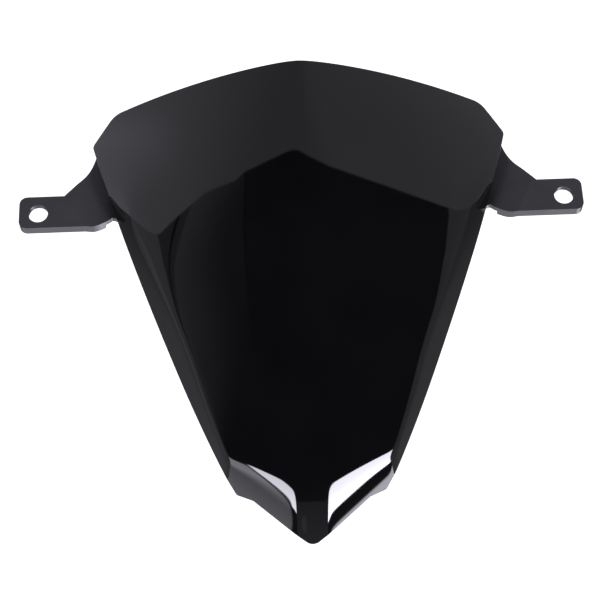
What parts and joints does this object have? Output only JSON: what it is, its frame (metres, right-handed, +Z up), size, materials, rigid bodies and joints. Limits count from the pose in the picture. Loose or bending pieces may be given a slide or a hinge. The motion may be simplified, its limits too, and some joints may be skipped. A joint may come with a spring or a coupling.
{
  "type": "motorcycle windshield screen",
  "caption": "Moulded gloss black motorcycle fly-screen: a long bubble with steep flanks, a pointed faceted nose and a rolled upper lip, carried by a bolt-on ear bracket on each side.",
  "frame": {"origin": "midway between the two ear bolt holes, on the underside of the ears, where they seat", "axes": "+X to the rider's right across the screen, +Y to the rear of the motorcycle, +Z up along the ear bolts; the screen's front and its nose face -Y"},
  "size_m": [0.281, 0.1952, 0.16],
  "materials": {
    "gloss_panel": "mirror-gloss moulded black plastic",
    "bracket_coat": "satin-gloss black coating on steel sheet",
    "rubber": "matt black moulded rubber",
    "foam": "closed-cell black foam",
    "brass": "turned brass",
    "steel": "black zinc-plated steel"
  },
  "bodies": {
    "root": {"screen_panel": "gloss_panel", "nose_damper": "rubber", "left_bracket": "bracket_coat", "left_isolator_pad": "rubber", "left_nose_strip": "foam", "left_front_insert": "brass", "left_front_washer": "steel", "left_front_screw": "steel", "left_rear_insert": "brass", "left_rear_washer": "steel", "left_rear_screw": "steel", "right_bracket": "bracket_coat", "right_isolator_pad": "rubber", "right_nose_strip": "foam", "right_front_insert": "brass", "right_front_washer": "steel", "right_front_screw": "steel", "right_rear_insert": "brass", "right_rear_washer": "steel", "right_rear_screw": "steel"}
  },
  "joints": []
}
